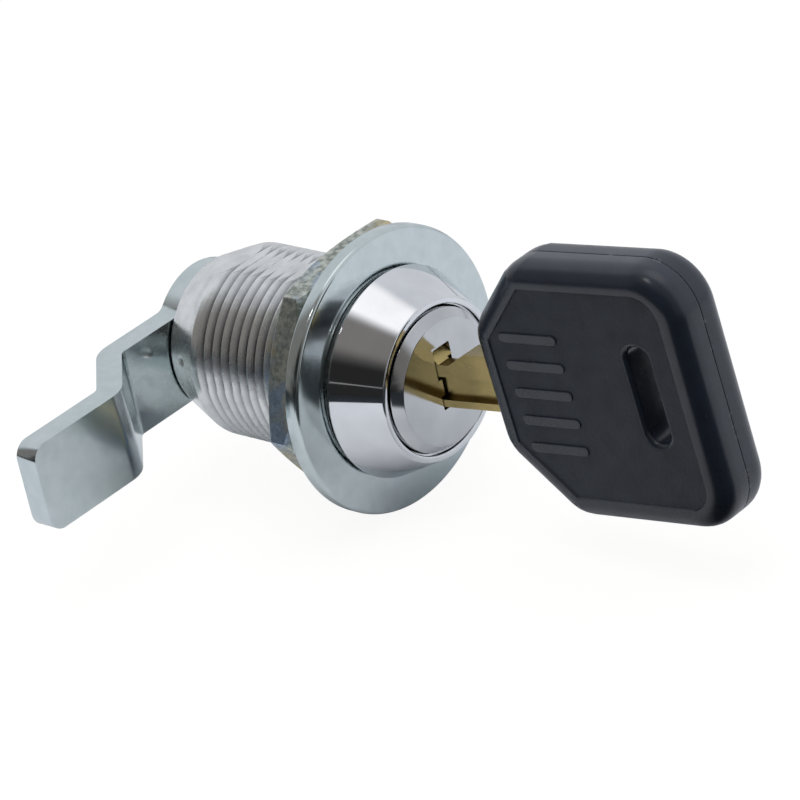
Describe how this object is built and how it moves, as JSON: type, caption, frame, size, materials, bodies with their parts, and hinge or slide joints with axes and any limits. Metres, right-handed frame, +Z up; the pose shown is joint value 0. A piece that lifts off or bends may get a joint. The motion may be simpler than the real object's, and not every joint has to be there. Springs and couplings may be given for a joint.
{
  "type": "cam lock",
  "caption": "Panel cam lock with a threaded double-flat barrel, chrome head, cranked cam and an inserted flat key with a plastic bow.",
  "frame": {"origin": "on the lock's axis, in the plane where the panel lies against the back of the dress ring", "axes": "+Y along the lock's axis from the key side to the cam side, +Z up in the key's plane, the locked cam points to -X"},
  "size_m": [0.0452, 0.0695, 0.0317],
  "materials": {
    "plated_barrel": "bright nickel plate over turned metal",
    "chrome": "mirror chrome plate",
    "zinc_plate": "satin blue-white zinc plate",
    "cast_nut": "grainy zinc plate over a cast surface",
    "zinc_casting": "die-cast zinc",
    "wafer_brass": "stamped brass",
    "spring_steel": "drawn spring wire",
    "key_brass": "milled brass",
    "bow_plastic": "fine-textured dark slate plastic"
  },
  "bodies": {
    "lock_body": {"housing": "plated_barrel", "bezel_cap": "chrome", "dress_ring": "zinc_plate"},
    "nut": {"mounting_nut": "cast_nut"},
    "plug": {"plug": "zinc_casting", "plug_face": "chrome", "wafer_spring_1": "spring_steel", "wafer_spring_2": "spring_steel", "wafer_spring_3": "spring_steel", "wafer_spring_4": "spring_steel", "wafer_spring_5": "spring_steel", "wafer_spring_6": "spring_steel", "retainer_wafer": "wafer_brass", "retainer_spring": "spring_steel", "stop_washer": "zinc_plate", "cam": "zinc_plate", "lock_washer": "spring_steel", "cam_screw": "zinc_plate"},
    "wafer_1": {"wafer_1": "wafer_brass"},
    "wafer_2": {"wafer_2": "wafer_brass"},
    "wafer_3": {"wafer_3": "wafer_brass"},
    "wafer_4": {"wafer_4": "wafer_brass"},
    "wafer_5": {"wafer_5": "wafer_brass"},
    "wafer_6": {"wafer_6": "wafer_brass"},
    "key": {"key_blade": "key_brass", "key_shell_left": "bow_plastic", "key_shell_right": "bow_plastic"}
  },
  "joints": [
    {"name": "plug_turn", "type": "hinge", "parent": "lock_body", "child": "plug", "pos_m": [0, 0, 0], "axis": [0, 1, 0], "range_deg": [0, 90]},
    {"name": "key_slide", "type": "slide", "parent": "plug", "child": "key", "axis": [0, -0.9925, 0.1219], "range_m": [0, 0.028]},
    {"name": "nut_travel", "type": "slide", "parent": "lock_body", "child": "nut", "axis": [0, 1, 0], "range_m": [0, 0.012]},
    {"name": "wafer_1_slide", "type": "slide", "parent": "plug", "child": "wafer_1", "axis": [0, 0, 1], "range_m": [-0.0005, 0], "deforming": ["wafer_spring_1"]},
    {"name": "wafer_2_slide", "type": "slide", "parent": "plug", "child": "wafer_2", "axis": [0, 0, 1], "range_m": [-0.0009, 0], "deforming": ["wafer_spring_2"]},
    {"name": "wafer_3_slide", "type": "slide", "parent": "plug", "child": "wafer_3", "axis": [0, 0, 1], "range_m": [-0.0003, 0], "deforming": ["wafer_spring_3"]},
    {"name": "wafer_4_slide", "type": "slide", "parent": "plug", "child": "wafer_4", "axis": [0, 0, 1], "range_m": [-0.0007, 0], "deforming": ["wafer_spring_4"]},
    {"name": "wafer_5_slide", "type": "slide", "parent": "plug", "child": "wafer_5", "axis": [0, 0, 1], "range_m": [-0.0005, 0], "deforming": ["wafer_spring_5"]},
    {"name": "wafer_6_slide", "type": "slide", "parent": "plug", "child": "wafer_6", "axis": [0, 0, 1], "range_m": [-0.0008, 0], "deforming": ["wafer_spring_6"]}
  ]
}
